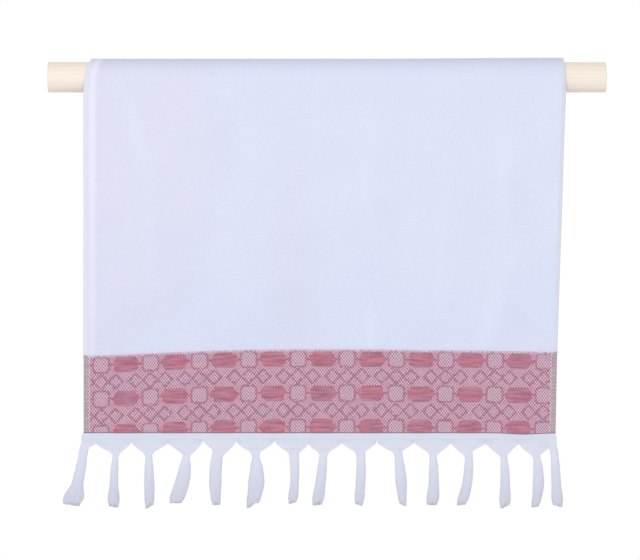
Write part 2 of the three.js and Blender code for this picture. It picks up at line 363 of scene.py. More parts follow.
def below_turn(along):
    """How far down from the rod's axis the cloth hangs, or 0 where it turns over the rod."""
    return np.maximum(np.abs(along) - QUARTER_TURN, 0)


def on_cloth(x, along, out):
    """Points of the draped cloth, standing "out" from its middle layer."""
    down = below_turn(along)
    angle = np.clip(along, -QUARTER_TURN, QUARTER_TURN) / TURN_RADIUS
    front = fold_rise(FRONT_FOLDS + FRONT_CREASES, x, down)
    back = fold_rise(BACK_FOLDS + BACK_CREASES, x, down)
    radius = TURN_RADIUS + out + np.where(along >= 0, front, back)
    return np.stack([x, -radius * np.sin(angle), radius * np.cos(angle) - down], axis=-1)


def side_profile(from_left, along):
    """How far the terry stands out at its sides: the sunk selvedges, the left ridge and the
    looser right end of the fold."""
    sunk = 1 - smoothstep(from_left, *LEFT_SLOPE) + smoothstep(from_left, *RIGHT_SLOPE)
    gentle = from_left > RIDGE_MIDDLE
    ridge = bell(from_left, RIDGE_MIDDLE, np.where(gentle, RIDGE_GENTLE_SIDE, RIDGE_STEEP_SIDE))
    ridge *= smoothstep(np.abs(along), 0, RIDGE_STARTS_OVER)
    ridge *= 1 - smoothstep(np.abs(along), RIDGE_FADE_FROM, RIDGE_FADE_TO)
    over_top = 1 - smoothstep(np.abs(along), 0, LOOSE_OVER)
    loose = smoothstep(from_left, LOOSE_FROM, CLOTH_WIDTH) * over_top
    return RIDGE_RISE * ridge - SELVEDGE_SUNK * sunk * (1 - over_top) + LOOSE_RISE * loose


def motif_place(from_left, from_top):
    """Distances across and down from the middle of the nearest hexagon."""
    across = (from_left - FIRST_MOTIF_ACROSS + MOTIF_ACROSS / 2) % MOTIF_ACROSS
    down = (from_top - FIRST_MOTIF_DOWN + MOTIF_DOWN / 2) % MOTIF_DOWN
    return np.abs(across - MOTIF_ACROSS / 2), np.abs(down - MOTIF_DOWN / 2)


def float_rise(from_left, from_top):
    """The hexagons' long floats stand a little proud of the weave, but not at the selvedges."""
    across, down = motif_place(from_left, from_top)
    down = down / HEXAGON_HALF_HEIGHT
    inside = np.maximum((across + HEXAGON_CORNER_CUT * down**2) / HEXAGON_HALF_WIDTH, down)
    from_edge = np.minimum(from_left, CLOTH_WIDTH - from_left)
    rise = HEXAGON_RISE * (1 - smoothstep(inside, *HEXAGON_SLOPE))
    return rise * smoothstep(from_edge, 0, FLAT_BESIDE_EDGE)


# Modelling


def deselect():
    bpy.ops.object.select_all(action="DESELECT")


def new_piece(name):
    """Names the primitive that was just added, and its mesh."""
    piece = bpy.context.object
    piece.name = piece.data.name = name
    return piece


def points_of(piece):
    points = np.empty(len(piece.data.vertices) * 3)
    piece.data.vertices.foreach_get("co", points)
    return points.reshape(-1, 3)


def move_points(piece, points):
    piece.data.vertices.foreach_set("co", points.ravel())
    piece.data.update()


def clear_maps(piece):
    while piece.data.uv_layers:
        piece.data.uv_layers.remove(piece.data.uv_layers[0])


def map_points(piece, name, places):
    """Gives the piece a UV map in millimetres, from a place for each of its points."""
    layer = piece.data.uv_layers.new(name=name)
    corners = np.empty(len(piece.data.loops), dtype=int)
    piece.data.loops.foreach_get("vertex_index", corners)
    layer.data.foreach_set("uv", places[corners].ravel())


def apply_modifier(kind, **settings):
    """Adds a modifier to the active piece and applies it."""
    bpy.ops.object.modifier_add(type=kind)
    modifier = bpy.context.object.modifiers[-1]
    for name, value in settings.items():
        setattr(modifier, name, value)
    bpy.ops.object.modifier_apply(modifier=modifier.name)


def round_corners(width):
    apply_modifier(
        "BEVEL", width=width * MM, segments=CORNER_STEPS, limit_method="ANGLE",
        angle_limit=math.radians(CORNER_ANGLE),
    )


def shade_smooth(degrees):
    bpy.ops.object.shade_smooth_by_angle(angle=math.radians(degrees))


def draped_sheet(name, grid, place, thickness, rounding):
    """A flat grid carried onto the drape, given its thickness and rounded along its edges.
    place(share across, share up) gives x, along, out and the piece's UV maps by name."""
    deselect()
    columns, rows = grid
    bpy.ops.mesh.primitive_grid_add(x_subdivisions=columns, y_subdivisions=rows, size=1)
    sheet = new_piece(name)
    flat = points_of(sheet)
    x, along, out, maps = place(flat[:, 0] + 0.5, flat[:, 1] + 0.5)
    clear_maps(sheet)
    for map_name, places in maps.items():
        map_points(sheet, map_name, np.stack(places, axis=-1))
    move_points(sheet, on_cloth(x, along, out) * MM)
    apply_modifier("SOLIDIFY", thickness=thickness * MM, offset=0, material_offset=1)
    round_corners(rounding)
    shade_smooth(SMOOTH_BELOW)
    return sheet


# Every sheet has the UV map "weave", a place on the flat cloth: how far from its left side, and
# how far down from the top of the fold, of the border or of the header.


def terry_place(share_across, share_up):
    """The terry between the two borders' top edges, with closer columns beside its edges. The
    UV map "pile" holds how far a crease stands out, which sets its painted highlight, and the
    distance above the border, which sets the rosier, shaded rows there."""
    from_left = np.interp(share_across, COLUMN_SHARES, COLUMN_PLACES)
    flat_x = from_left - CLOTH_WIDTH / 2
    front_end, back_end = border_top(FRONT_HEM, flat_x), border_top(BACK_HEM, flat_x)
    along = lerp(front_end, -back_end, share_up)
    x = lerp(edge("left", along), edge("right", along), from_left / CLOTH_WIDTH)
    above_border = np.where(along > 0, front_end - along, back_end + along)
    down = below_turn(along)
    front, back = fold_rise(FRONT_CREASES, x, down), fold_rise(BACK_CREASES, x, down)
    crest = np.where(along >= 0, front, back)
    maps = {"weave": (from_left, along), "pile": (crest, above_border)}
    return x, along, side_profile(from_left, along), maps


def border_place(hem, side):
    """The border of one half: side is 1 on the front and -1 on the back. The UV map "hem" holds
    x and the distance above the lower edge."""

    def place(share_across, share_up):
        # The back is carried from its top edge down, so that its face still looks outwards.
        share_down = 1 - share_up if side > 0 else share_up
        from_left = share_across * CLOTH_WIDTH
        top = border_top(hem, from_left - CLOTH_WIDTH / 2)
        bottom = hem + (DIP * bell(from_left, DIP_MIDDLE, DIP_WIDTH) if side > 0 else 0)
        over = lerp(top - BORDER_TUCK, bottom, share_down)
        # Past the hem the cloth's edges are the header's, so the dip keeps to the hem's.
        beside = side * np.minimum(over, hem)
        x = lerp(edge("left", beside), edge("right", beside), share_across)
        maps = {"weave": (from_left, over - top), "hem": (x, bottom - over)}
        return x, side * over, float_rise(from_left, over - top), maps

    return place


def header_place(hem, side):
    """The narrow white header, tucked into the border above it."""

    def place(share_across, share_up):
        share_down = 1 - share_up if side > 0 else share_up
        over = hem + lerp(-HEADER_TUCK, HEADER_DEPTH, share_down)
        x = lerp(edge("left", side * over), edge("right", side * over), share_across)
        return x, side * over, np.zeros_like(x), {"weave": (share_across * CLOTH_WIDTH, over - hem)}

    return place


def make_rod():
    """A turned dowel with broken edges at its sawn ends."""
    deselect()
    bpy.ops.mesh.primitive_cylinder_add(
        vertices=ROD_SIDES,
        radius=ROD_RADIUS * MM,
        depth=ROD_LENGTH * MM,
        rotation=(0, math.pi / 2, 0),
    )
    rod = new_piece("wooden_rod")
    bpy.ops.object.transform_apply(location=True, rotation=True, scale=True)
    round_corners(ROD_EDGE)
    shade_smooth(SMOOTH_BELOW)
    return rod


# Tassels


def back_tassels():
    left = edge("left", -BACK_HEM) + BACK_TASSEL_INSET
    right = edge("right", -BACK_HEM) - BACK_TASSEL_INSET
    between = (right - left) / (BACK_TASSEL_COUNT - 1)
    tassels = []
    for i in range(BACK_TASSEL_COUNT):
        root = left + between * i
        sway = math.sin(BACK_SWAY_PHASE * i)
        places = {"middle": root + BACK_MIDDLE_SWAY * sway, "tip": root + BACK_TIP_SWAY * sway}
        tassels.append({**BACK_TASSEL, **places, "root": root, "gap": root + between / 2})
    return tassels


def below_root(tassel, depth):
    """A depth as a share of the way from a tassel's root to its tip."""
    return np.clip((depth - TASSEL_ROOT) / (tassel["length"] - TASSEL_ROOT), 0, 1)


def tassel_x(tassel, t):
    """The middle line bends through the root, the middle and the tip."""
    a = 2 * (t - 0.5) * (t - 1)
    b = 4 * t * (1 - t)
    c = 2 * t * (t - 0.5)
    return a * tassel["root"] + b * tassel["middle"] + c * tassel["tip"]


def tassel_width(tassel, t):
    widths = []
    for station in TASSEL_STATIONS:
        widths.append(sum(station[part] * tassel[part] for part in ("neck", "belly", "end")))
    places = np.array(column(TASSEL_STATIONS, "at"))
    after = np.clip(np.searchsorted(places, t), 1, len(places) - 1)
    share = smoothstep(t, places[after - 1], places[after])
    return lerp(np.take(widths, after - 1), np.take(widths, after), share)


def fan_reach(to_gap, web, neck, drawn, depth):
    """How far a tassel's fan of yarn reaches to one side. It overlaps the next fan down to the
    top of the gap, and then draws in to the neck."""
    share = np.clip((depth - web) / (drawn - web), 0, 1)
    return lerp(to_gap + FAN_OVERLAP * (1 - share), neck / 2, share**FAN_CURVE)


def bundle_point(tassel, depth, angle, layer, inset):
    """The x of a point in a tassel's bundle, and how far it lies behind the cloth's middle.
    angle goes round the bundle, and layer is a share of the way out to its surface."""
    down = below_root(tassel, depth)
    evenly = 1 - np.arccos(np.cos(angle)) / np.pi
    neck, drawn = tassel["neck"], (tassel["left_drawn"], tassel["right_drawn"])
    left = fan_reach(tassel["to_left"], tassel["left_web"], neck, drawn[0], depth) - inset
    right = fan_reach(tassel["to_right"], tassel["web"], neck, drawn[1], depth) - inset
    fan = lerp(-left, right, evenly)
    turned = angle + tassel["twist"] * smoothstep(depth, TWIST_FROM, TWIST_TO)
    half = tassel_width(tassel, down) / 2 - inset
    thick = np.minimum(half * BUNDLE_FLATNESS, BUNDLE_THICKEST)
    gathered = smoothstep(depth, max(drawn) - GATHER_BEFORE, max(drawn) + GATHER_AFTER)
    x = tassel_x(tassel, down) + lerp(fan, half * layer * np.cos(turned), gathered)
    return x, lerp(0, thick * layer * np.sin(turned), gathered)


def repeated_tube(name, sides, steps, count):
    """Tubes one unit round and one long, divided down their length and set out in a row.
    Gives the piece, and for the points of one tube how far round and how far down they are."""
    deselect()
    bpy.ops.mesh.primitive_cylinder_add(vertices=sides, radius=1, depth=1, end_fill_type="NGON")
    tube = new_piece(name)
    clear_maps(tube)
    bpy.ops.object.mode_set(mode="EDIT")
    bpy.ops.mesh.select_mode(type="EDGE")
    bpy.ops.mesh.select_all(action="DESELECT")
    bpy.ops.object.mode_set(mode="OBJECT")
    for mesh_edge in tube.data.edges:
        ends = [tube.data.vertices[i].co.z for i in mesh_edge.vertices]
        mesh_edge.select = ends[0] * ends[1] < 0
    bpy.ops.object.mode_set(mode="EDIT")
    bpy.ops.mesh.subdivide(number_cuts=steps - 1)
    bpy.ops.object.mode_set(mode="OBJECT")
    single = points_of(tube)
    apply_modifier(
        "ARRAY", count=count, use_relative_offset=False, use_constant_offset=True,
        constant_offset_displace=(0, 0, 2),
    )
    return tube, np.arctan2(single[:, 1], single[:, 0]), 0.5 - single[:, 2]


def hang_tubes(tube, x, behind, depth, round_places, hem, side):
    """Carries the points of all the tubes to the fringe of one half of the towel."""
    hanging = on_cloth(x, np.full_like(x, side * hem), 0)
    points = np.stack([x, hanging[..., 1] + behind, hanging[..., 2] - depth], axis=-1)
    places = np.stack([np.broadcast_to(round_places, x.shape), depth], axis=-1)
    map_points(tube, "weave", places.reshape(-1, 2))
    move_points(tube, points.reshape(-1, 3) * MM)


def comb_yarns(tassel, t, around, random):
    """The points of one tassel's yarns: those round its core, and the loose ones at its tip."""
    count = YARNS_ROUND + LOOSE_YARNS
    k = np.arange(count)[:, None]
    scattered = k * GOLDEN_SHARE % 1
    is_loose = k >= YARNS_ROUND
    angle = np.where(is_loose, GOLDEN_ANGLE * k, 2 * np.pi * (k + 0.25) / YARNS_ROUND)
    layer = np.where(is_loose, lerp(*LOOSE_LAYERS, scattered), 1)
    short = YARN_CUT_SPREAD * random.random((count, 1)) ** 2
    phase = random.random((count, 1)) * YARN_PHASES + random.random() * TASSEL_PHASES
    tip = tassel["length"] - tassel["cut"] * np.cos(angle + tassel["twist"]) / 2 - short
    start = np.where(is_loose, tassel["length"] - LOOSE_LENGTH, YARN_START)
    set_back = YARN_UNEVEN * (2 * scattered - 1)

    def centre(share):
        depth = lerp(start, tip, share)
        x, behind = bundle_point(tassel, depth, angle, layer, YARN_RADIUS)
        wave = YARN_WAVE * smoothstep(depth, YARN_START, tassel["length"])
        turn = 2 * np.pi * YARN_WAVES_DOWN * share + phase
        return x + wave * np.sin(turn), behind + set_back + wave * np.cos(turn), depth

    x, behind, depth = centre(t[None, :])
    ahead_x, _, ahead_depth = centre(t[None, :] + SLOPE_STEP)
    slope = (ahead_x - x) / (ahead_depth - depth)
    length = np.sqrt(1 + slope**2)
    swelling = np.maximum(tassel_width(tassel, below_root(tassel, depth)) / SWELLS_ABOVE, 1)
    radius = YARN_RADIUS * swelling**YARN_SWELLING
    radius = radius * (1 - YARN_TAPER * smoothstep(t[None, :], YARN_TAPERS_FROM, 1))
    x = x + radius * np.cos(around) / length
    return x, behind + radius * np.sin(around), depth - radius * np.cos(around) * slope / length


def make_tassels(name, tassels, hem, side, seed):
    """Every tassel of one hem: soft cores, and yarns combed round them."""
    random = np.random.default_rng(seed)
    header_end = side * (hem + HEADER_DEPTH)
    left_web, from_gap = tassels[0]["web"], edge("left", header_end)
    for i, tassel in enumerate(tassels):
        gap = edge("right", header_end) if i == len(tassels) - 1 else tassel["gap"]
        tassel["left_web"], tassel["to_left"] = left_web, tassel["root"] - from_gap
        tassel["to_right"] = gap - tassel["root"]
        turns = 1 if i % 2 else -1
        tassel["twist"] = BUNDLE_TWIST * turns * lerp(*TWIST_SHARES, random.random())
        left_web, from_gap = tassel["web"], gap

    cores, around, t = repeated_tube(name + "_cores", CORE_SIDES, CORE_STEPS, len(tassels))
    rows = []
    for tassel in tassels:
        depth = lerp(YARN_START, tassel["length"] - CORE_SHORT, t)
        x, behind = bundle_point(tassel, depth, around, 1, CORE_INSET + YARN_RADIUS)
        rows.append((x, behind + YARN_RADIUS / 2 * np.sin(around), depth))
    x, behind, depth = (np.stack(part) for part in zip(*rows))
    hang_tubes(cores, x, behind, depth, around, hem, side)

    per_tassel = YARNS_ROUND + LOOSE_YARNS
    fringe, around, t = repeated_tube(name, YARN_SIDES, YARN_STEPS, len(tassels) * per_tassel)
    rows = [comb_yarns(tassel, t, around, random) for tassel in tassels]
    x, behind, depth = (np.concatenate(part) for part in zip(*rows))
    hang_tubes(fringe, x, behind, depth, around / (2 * np.pi), hem, side)
    cores.select_set(True)
    bpy.ops.object.join()
    shade_smooth(YARN_SMOOTH_BELOW)
    return fringe


# Materials


def linear(hex_colour):
    """A linear colour from an sRGB hex value."""
    shares = [int(hex_colour[i : i + 2], 16) / 255 for i in (0, 2, 4)]
    return [s / 12.92 if s <= 0.04045 else ((s + 0.055) / 1.055) ** 2.4 for s in shares] + [1]


def add_node(tree, kind, links=None, **settings):
    """Adds a shader node with its settings. links gives inputs, by name or number, a value, a
    hex colour or what feeds them: a socket, or a node, whose first shown output is then used."""
    made = tree.nodes.new("ShaderNode" + kind)
    for name, value in settings.items():
        setattr(made, name, value)
    for key, value in (links or {}).items():
        shown = [socket for socket in made.inputs if socket.enabled]
        socket = shown[key] if isinstance(key, int) else next(s for s in shown if s.name == key)
        if isinstance(value, str):
            value = linear(value)
        if isinstance(value, bpy.types.Node):
            value = next(s for s in value.outputs if s.enabled)
        if isinstance(value, bpy.types.NodeSocket):
            tree.links.new(value, socket)
        else:
            socket.default_value = value
    return made


def ramp(low, high, at_low=0, at_high=1):
    """The range in which a pattern's strength goes from at_low to at_high."""
    return {"From Min": low, "From Max": high, "To Min": at_low, "To Max": at_high}


def new_material(name):
    """A new material, and its node tree, which is empty."""
    material = bpy.data.materials.new(name)
    material.use_nodes = True
    material.node_tree.nodes.clear()
    return material, material.node_tree


def finish_material(tree, colour, height, distance, **surface):
    """Joins the colour and the raised pattern to one Principled surface."""
    bump = add_node(tree, "Bump", {"Height": height, "Distance": distance * MM, "Strength": 1})
    inputs = {"Base Color": colour, "Normal": bump}
    inputs.update({name.replace("_", " "): value for name, value in surface.items()})
    shader = add_node(tree, "BsdfPrincipled", inputs)
    add_node(tree, "OutputMaterial", {"Surface": shader})


# The terry's white, bright and dull, where it leans to blue and where it leans to lilac. The dull
# one is mixed in as painted shade and as uneven tone.
BLUE_WHITE = ("E3E7F9", "D3D9EF")
LILAC_WHITE = ("E4E5F7", "D5D7EC")
# The right selvedge's tone is darker: painted shade on the edge that faces away from the light.
TERRY_SELVEDGES_RIGHT_SHADED = ("E1E3F1", "D9DCEA")
# A painted highlight on the left ridge.
TERRY_RIDGE_HIGHLIGHT = "E9EAFA"
# A painted highlight along the creases.
TERRY_CREASE_HIGHLIGHT = "E7EEFF"
# The last rows above the border: rosier, and darker with painted shade at the step down to it.
TERRY_ROSE_AND_STEP_SHADE = "DED5E4"

# Sizes of its loops, of the way they lie and of soft clouds, and how much each adds. The loops
# add painted shade between them, the clouds an uneven tone.
LOOP_SIZE = 1.15
LOOP_SMOOTHNESS = 0.6
LOOP_SCATTER = 0.8
LOOP_DEPTH = 0.9
LOOP_PAINTED_SHADE = 0.45
LAY_SIZE = 5.5
CLOUD_SIZE = 38
CLOUD_SHADE = 0.5

# Ranges over the cloth, from the top of the fold: painted shade over the fold's top and lower
# down above the border, the lilac side's narrowing, and the fading of the ridge's painted highlight.
FOLD_TOP_PAINTED_SHADE = ramp(0, 18, 0.75, 0)
LOW_PAINTED_SHADE = ramp(90, 190, 0, 0.26)
LILAC_NARROWER = ramp(120, 200, 0, 60)
RIDGE_HIGHLIGHT_FADING = ramp(60, 190, 1, 0.45)

# Ranges across it: the lilac side, the ridge's crest with its painted highlight, and the last
# rows above the border, rosier and darkened with painted shade.
LILAC_SIDE = ramp(40, 65, 1, 0)
LILAC_WANDERS = 60
RIDGE_HIGHLIGHT_ACROSS = ramp(0.8, 3.2, 0.9, 0)
ROSE_AND_STEP_SHADE_ROWS = ramp(0.2, 2.4, 0.8, 0)
CREASE_HIGHLIGHT_PER_MM = 0.8

# One tall lilac patch: its middle and its size, across and over the cloth.
PATCH_MIDDLE = (132, 125)
PATCH_SIZE = (16, 62)
PATCH_SHARE = ramp(0.4, 1.4, 0.8, 0)


def pile_painted_shade_and_tone(tree, loops, cloudy, over):
    """How dull the pile looks: painted shade between its loops, over the top of the fold, where the
    cloth turns away from the light, and lower down above the border, with clouds of uneven tone."""
    fold_top_shade = add_node(tree, "MapRange", {"Value": over, **FOLD_TOP_PAINTED_SHADE})
    low_shade = add_node(tree, "MapRange", {"Value": over, **LOW_PAINTED_SHADE})
    shade = add_node(tree, "Math", {0: loops, 1: LOOP_PAINTED_SHADE, 2: fold_top_shade}, operation="MULTIPLY_ADD")
    shade = add_node(tree, "Math", {0: cloudy, 1: CLOUD_SHADE, 2: shade}, operation="MULTIPLY_ADD")
    return add_node(tree, "Math", {0: shade, 1: low_shade}, operation="ADD")


def lilac_share(tree, weave, place, over, cloudy):
    """Where the white leans to lilac: towards the left, less so lower down, and in a patch."""
    narrower = add_node(tree, "MapRange", {"Value": over, **LILAC_NARROWER})
    to_left = add_node(tree, "Math", {0: narrower, 1: place}, operation="ADD")
    to_left = add_node(
        tree, "Math", {0: cloudy, 1: -LILAC_WANDERS, 2: to_left}, operation="MULTIPLY_ADD"
    )
    to_left = add_node(tree, "MapRange", {"Value": to_left, **LILAC_SIDE})
    (x, along), (width, height) = PATCH_MIDDLE, PATCH_SIZE
    patch = add_node(tree, "VectorMath", {0: weave, 1: (1 / width, 1 / height, 1)}, operation="MULTIPLY")
    middle = (x / width, along / height, 0)
    patch = add_node(tree, "VectorMath", {0: patch, 1: middle}, operation="DISTANCE")
    patch = add_node(tree, "MapRange", {"Value": patch, **PATCH_SHARE})
    return add_node(tree, "Math", {0: to_left, 1: patch}, operation="MAXIMUM")


def ridge_highlight_share(tree, place, over):
    """Where the painted highlight on the left ridge shows: along its crest, fading lower down."""
    from_ridge = add_node(tree, "Math", {0: place, 1: RIDGE_MIDDLE}, operation="SUBTRACT")
    from_ridge = add_node(tree, "Math", {0: from_ridge}, operation="ABSOLUTE")
    crest = add_node(tree, "MapRange", {"Value": from_ridge, **RIDGE_HIGHLIGHT_ACROSS})
    highlight_fading = add_node(tree, "MapRange", {"Value": over, **RIDGE_HIGHLIGHT_FADING})
    return add_node(tree, "Math", {0: crest, 1: highlight_fading}, operation="MULTIPLY")


def terry_material():
    """Cotton terry, bleached and brightened, so that it looks faintly blue, and faintly lilac
    in places. Its loops stand in uneven tufts about a millimetre apart, which scatter light
    softly and hide the weave. Shade is painted between the loops, over the top of the fold and
    lower down towards the border; highlights are painted on the creases and the left ridge, and
    the right selvedge is painted darker as shade. The rows next to the border take some of its
    rose and are darkened with painted shade at the step down to it."""
    material, tree = new_material("cotton_terry")
    weave = add_node(tree, "UVMap", uv_map="weave")
    place = add_node(tree, "SeparateXYZ", {0: weave})
    over = add_node(tree, "Math", {0: place.outputs["Y"]}, operation="ABSOLUTE")
    spread = {"Scale": 1 / LOOP_SIZE, "Smoothness": LOOP_SMOOTHNESS, "Randomness": LOOP_SCATTER}
    loops = add_node(tree, "TexVoronoi", {"Vector": weave, **spread}, feature="SMOOTH_F1")
    lay = add_node(tree, "TexNoise", {"Vector": weave, "Scale": 1 / LAY_SIZE, "Detail": 3})
    cloudy = add_node(tree, "TexNoise", {"Vector": weave, "Scale": 1 / CLOUD_SIZE, "Detail": 2})
    height = add_node(tree, "Math", {0: loops, 1: -LOOP_DEPTH, 2: lay}, operation="MULTIPLY_ADD")

    # The dull white stands for painted shade as well as uneven tone.
    shade = pile_painted_shade_and_tone(tree, loops, cloudy, over)
    whites = []
    for bright, dull in (BLUE_WHITE, LILAC_WHITE):
        white = add_node(tree, "Mix", {"Factor": shade, "A": bright, "B": dull}, data_type="RGBA")
        whites.append(white)

    pile = add_node(tree, "SeparateXYZ", {0: add_node(tree, "UVMap", uv_map="pile")})
    # Painted highlight along the creases, stronger the further they stand out.
    crest = add_node(tree, "Math", {0: pile, 1: CREASE_HIGHLIGHT_PER_MM}, operation="MULTIPLY", use_clamp=True)
    # Rosier rows above the border, darkened with painted shade at the step.
    rose_and_step_shade = add_node(tree, "MapRange", {"Value": pile.outputs["Y"], **ROSE_AND_STEP_SHADE_ROWS})
    from_edge = add_node(tree, "Math", {0: place, 1: CLOTH_WIDTH / 2}, operation="PINGPONG")
    selvedge = add_node(tree, "Math", {0: from_edge, 1: SELVEDGE}, operation="LESS_THAN")
    to_right = add_node(tree, "Math", {0: place, 1: CLOTH_WIDTH / 2}, operation="GREATER_THAN")
    # The right selvedge is painted darker, as shade.
    left, right = TERRY_SELVEDGES_RIGHT_SHADED
    bare = add_node(tree, "Mix", {"Factor": to_right, "A": left, "B": right}, data_type="RGBA")

    # Later layers lie over earlier ones.
    layers = (
        (lilac_share(tree, weave, place, over, cloudy), whites[1]),
        (ridge_highlight_share(tree, place, over), TERRY_RIDGE_HIGHLIGHT),
        (crest, TERRY_CREASE_HIGHLIGHT),
        (rose_and_step_shade, TERRY_ROSE_AND_STEP_SHADE),
        (selvedge, bare),
    )
    colour = whites[0]
    for share, layer in layers:
        colour = add_node(tree, "Mix", {"Factor": share, "A": colour, "B": layer}, data_type="RGBA")
    finish_material(
        tree, colour, height, 0.12, Roughness=0.95, Sheen_Weight=0.2, Sheen_Roughness=0.5, IOR=1.5,
        Specular_IOR_Level=0.2,
    )
    return material


# The border's threads. A cell of its weave is two of them wide and high.
WARP_PITCH = 0.4375
WEFT_PITCH = 0.5625
THREAD = (WARP_PITCH, WEFT_PITCH, 1)
CELL = (2 * WARP_PITCH, 2 * WEFT_PITCH, 1)

# Two dyeings of each yarn, which the weave shows in patches, and of the pale one a rosier tone
# along the rows of hexagons and another in the rosettes.
ROSE = ("9C6583", "A26A81")
PALE = ("D6BACB", "DFBBC9")
BAND_PALE = "DBAFBF"
BAND = ramp(3.5, 7.5)
ROSETTE_PALE = "D5BAC8"
DYEING_SIZE = 7
DYEING = ramp(0.35, 0.65)

# The rose yarn where it floats over the hexagons, darker and brighter in fine streaks, and
# mauve or salmon in broad ones. Both are stretched along the weft.
MAUVE_FLOATS = ("98627A", "BF899E")
SALMON_FLOATS = ("A45D74", "C98595")
STREAK_LENGTH = 12
STREAK_HEIGHT = 1.6
STREAKS = ramp(0.25, 0.75)
BROAD_STREAK_LENGTH = 18
BROAD_STREAK_HEIGHT = 4
BROAD_STREAKS = ramp(0.25, 0.55)
MAUVE_AT_ENDS = 0.25

# Plain edges of the border: a grey ribbed selvedge, then one light dotted line. The first picks
# are half covered by the pile, and a painted shadow lies along the hem, where the border meets
# the header.
GREY_SELVEDGE = 2.9
SELVEDGE_RIBS = ("A8929E", "C2B0B8")
RIB_FINENESS = 1.4
RIBS = ramp(0.3, 0.7)
LIGHT_LINE_FROM = 3.1
LIGHT_LINE_TO = 4
LIGHT_LINE = "E6DDE6"
COVERED_PICKS = "D4D6E6"
COVERED = ramp(0, 1.4, 0.5, 0)
HEM_PAINTED_SHADOW = "8E7082"
HEM_SHADOW_HEIGHT = 0.6

# How the light yarn shows in each part of the design: base is what shows in every cell, and
# spread is what the lighter cells add. The last number says where the floats of rose lie.
GROUND = (0.19, 0.75, 0)
ROSETTE = (0.26, 0.8, 0)
LINE = (-0.1, 0.41, 0)
RING = (0.0, 0.45, 0)
FLOATS = (0.0, 0.0, 1)

# How far the weave's steps leave a motif's edge uneven, and its tone.
RAGGED_EDGE = 1.1
RAGGED_TONE = 0.2


def hexagon_share(tree, across, down, bulging):
    """Solid hexagons, narrower towards their top and bottom."""
    across = add_node(
        tree, "Math", {0: bulging, 1: HEXAGON_CORNER_CUT, 2: across}, operation="MULTIPLY_ADD"
    )
    in_width = add_node(tree, "Math", {0: across, 1: HEXAGON_HALF_WIDTH}, operation="LESS_THAN")
    in_height = add_node(tree, "Math", {0: down, 1: HEXAGON_HALF_HEIGHT}, operation="LESS_THAN")
    return add_node(tree, "Math", {0: in_width, 1: in_height}, operation="MULTIPLY")


def from_rosette(tree, across, down, ragged):
    """The distance from the middle of a rosette, half way between the hexagons of a row. A
    rosette is squarer than a circle, and its edge is ragged."""
    spot = add_node(tree, "CombineXYZ", {"X": across, "Y": down})
    distance = add_node(
        tree, "VectorMath", {0: spot, 1: (MOTIF_ACROSS / 2, 0, 0)}, operation="DISTANCE"
    )
    off_middle = add_node(tree, "Math", {0: across, 1: MOTIF_ACROSS / 2}, operation="SUBTRACT")
    angle = add_node(tree, "Math", {0: down, 1: off_middle}, operation="ARCTAN2")
    angle = add_node(tree, "Math", {0: angle, 1: 4}, operation="MULTIPLY")
    corners = add_node(tree, "Math", {0: angle}, operation="COSINE")
    for pattern, reach in ((corners, ROSETTE_SQUARENESS), (ragged, RAGGED_EDGE)):
        distance = add_node(
            tree, "Math", {0: pattern, 1: reach, 2: distance}, operation="MULTIPLY_ADD"
        )
    return distance


def line_share(tree, across, down):
    """A row of diamonds between the rows, left out where two triangles meet above each hexagon,
    and the short link between each hexagon and the rosettes beside it."""
    a = add_node(tree, "Math", {0: across, 1: LATTICE_FROM}, operation="SUBTRACT")
    a = add_node(tree, "Math", {0: a, 1: LATTICE_ACROSS}, operation="DIVIDE")
    b = add_node(tree, "Math", {0: down, 1: MOTIF_DOWN / 2}, operation="SUBTRACT")
    b = add_node(tree, "Math", {0: b, 1: LATTICE_DOWN}, operation="DIVIDE")
    rising = add_node(tree, "Math", {0: a, 1: b}, operation="ADD")
    falling = add_node(tree, "Math", {0: a, 1: b}, operation="SUBTRACT")
    near_rising = add_node(tree, "Math", {0: rising, 1: 0.5}, operation="PINGPONG")
    near_falling = add_node(tree, "Math", {0: falling, 1: 0.5}, operation="PINGPONG")
    nearest = add_node(tree, "Math", {0: near_rising, 1: near_falling}, operation="MAXIMUM")
    line = add_node(tree, "Math", {0: nearest, 1: LINE_LEVEL}, operation="GREATER_THAN")
    past_triangle = add_node(tree, "Math", {0: rising, 1: TRIANGLE_LEVEL}, operation="GREATER_THAN")
    in_lattice = add_node(tree, "Math", {0: down, 1: LATTICE_BEGINS}, operation="GREATER_THAN")
    line = add_node(tree, "Math", {0: line, 1: past_triangle}, operation="MULTIPLY")
    line = add_node(tree, "Math", {0: line, 1: in_lattice}, operation="MULTIPLY")
    link = add_node(tree, "Math", {0: down, 1: LINK_HALF_HEIGHT}, operation="LESS_THAN")
    return add_node(tree, "Math", {0: line, 1: link}, operation="MAXIMUM")


def plain_edges(tree, woven, weave, lighter, stretched):
    """Lays the border's plain selvedges and light dotted lines over the design."""
    flat = add_node(tree, "SeparateXYZ", {0: weave})
    from_edge = add_node(tree, "Math", {0: flat, 1: CLOTH_WIDTH / 2}, operation="PINGPONG")
    before_end = add_node(tree, "Math", {0: from_edge, 1: LIGHT_LINE_TO}, operation="LESS_THAN")
    past_start = add_node(tree, "Math", {0: from_edge, 1: LIGHT_LINE_FROM}, operation="GREATER_THAN")
    in_line = add_node(tree, "Math", {0: before_end, 1: past_start}, operation="MULTIPLY")
    in_line = add_node(tree, "Math", {0: in_line, 1: lighter}, operation="MULTIPLY")
    lined = add_node(tree, "Mix", {"Factor": in_line, "A": woven, "B": LIGHT_LINE}, data_type="RGBA")
    ribs = add_node(tree, "TexNoise", {"Vector": stretched, "Scale": RIB_FINENESS, "Detail": 1})
    ribs = add_node(tree, "MapRange", {"Value": ribs, **RIBS})
    dark, light = SELVEDGE_RIBS
    grey = add_node(tree, "Mix", {"Factor": ribs, "A": dark, "B": light}, data_type="RGBA")
    selvedge = add_node(tree, "Math", {0: from_edge, 1: GREY_SELVEDGE}, operation="LESS_THAN")
    return add_node(tree, "Mix", {"Factor": selvedge, "A": lined, "B": grey}, data_type="RGBA")


